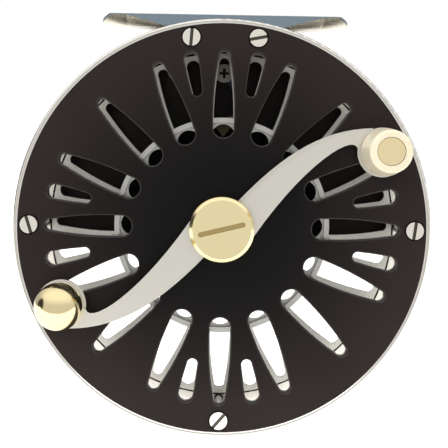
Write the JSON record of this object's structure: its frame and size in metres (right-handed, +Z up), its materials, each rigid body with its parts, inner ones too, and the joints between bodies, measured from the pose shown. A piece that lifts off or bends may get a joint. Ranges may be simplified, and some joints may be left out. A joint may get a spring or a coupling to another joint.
{
  "type": "fly reel",
  "caption": "Ported plate-frame fly reel with a ported spool, S-shaped counterbalanced crank, click pawl, cork drag and a rod foot.",
  "frame": {"origin": "middle of the foot's seat, level with the top edges of the foot", "axes": "+Z up out of the foot's seat, towards the rod; X along the rod; the crank faces -Y and +Y is the back"},
  "size_m": [0.102, 0.0518, 0.1037],
  "materials": {
    "bright_aluminium": "turned and polished",
    "dark_anodised": "dark satin anodising",
    "nickel_steel": "nickel plate",
    "polished_steel": "polished, finely scratched",
    "bearing_steel": "ground and polished",
    "spool_aluminium": "clear satin anodising",
    "bronze": "dull machined",
    "spring_steel": "blued",
    "cork": "ground cork",
    "polished_brass": "polished",
    "satin_nickel": "satin with polished edges",
    "ivory_plastic": "polished"
  },
  "bodies": {
    "frame": {"front_ring": "bright_aluminium", "rear_ring": "bright_aluminium", "front_plate": "dark_anodised", "rear_plate": "dark_anodised", "frame_pillars": "bright_aluminium", "front_plate_screws": "nickel_steel", "rear_plate_screws": "nickel_steel", "reel_foot": "polished_steel", "foot_screws": "nickel_steel", "front_bearing_housing": "bright_aluminium", "rear_bearing_housing": "bright_aluminium", "front_bearing_outer_race": "bearing_steel", "front_bearing_balls": "bearing_steel", "rear_bearing_outer_race": "bearing_steel", "rear_bearing_balls": "bearing_steel", "pawl_pin": "nickel_steel", "click_spring": "spring_steel", "click_spring_screw": "nickel_steel"},
    "spool": {"spool_front_flange": "spool_aluminium", "spool_arbor": "spool_aluminium", "spool_rear_flange": "spool_aluminium", "spool_hub": "spool_aluminium", "spindle": "nickel_steel", "click_ratchet": "bronze", "front_bearing_inner_race": "bearing_steel", "rear_bearing_inner_race": "bearing_steel", "crank_washer": "polished_brass", "crank_arm": "satin_nickel", "crank_cap": "polished_brass", "counterweight_ball": "polished_brass", "ball_stud": "polished_brass", "knob_washer": "polished_brass", "knob_spindle": "polished_brass"},
    "knob": {"handle_knob": "ivory_plastic", "knob_bush": "bronze"},
    "pawl": {"click_pawl": "bronze"},
    "drag": {"cork_ring": "cork", "pressure_plate": "bright_aluminium", "push_pins": "nickel_steel"},
    "drag_knob": {"drag_knob": "dark_anodised", "drag_knob_cap": "polished_brass"}
  },
  "joints": [
    {"name": "spool_spin", "type": "hinge", "parent": "frame", "child": "spool", "pos_m": [0, 0, -0.0527], "axis": [0, 1, 0], "continuous": true},
    {"name": "knob_spin", "type": "hinge", "parent": "spool", "child": "knob", "pos_m": [0.03837, 0, -0.03374], "axis": [0, 1, 0], "continuous": true},
    {"name": "click_pawl_rock", "type": "hinge", "parent": "frame", "child": "pawl", "pos_m": [0.0052, 0.0103, -0.0251], "axis": [0, 1, 0], "range_deg": [-3, 8], "stiffness_Nm_per_rad": 0.001},
    {"name": "drag_turn", "type": "hinge", "parent": "frame", "child": "drag_knob", "pos_m": [0, 0.0173, -0.0527], "axis": [0, 1, 0], "range_deg": [0, 90]},
    {"name": "drag_press", "type": "slide", "parent": "frame", "child": "drag", "axis": [0, -1, 0], "range_m": [0, 0.0003]}
  ],
  "couplings": [
    {"joint": "drag_press", "follows": "drag_turn", "m_per_rad": 0.000191}
  ]
}
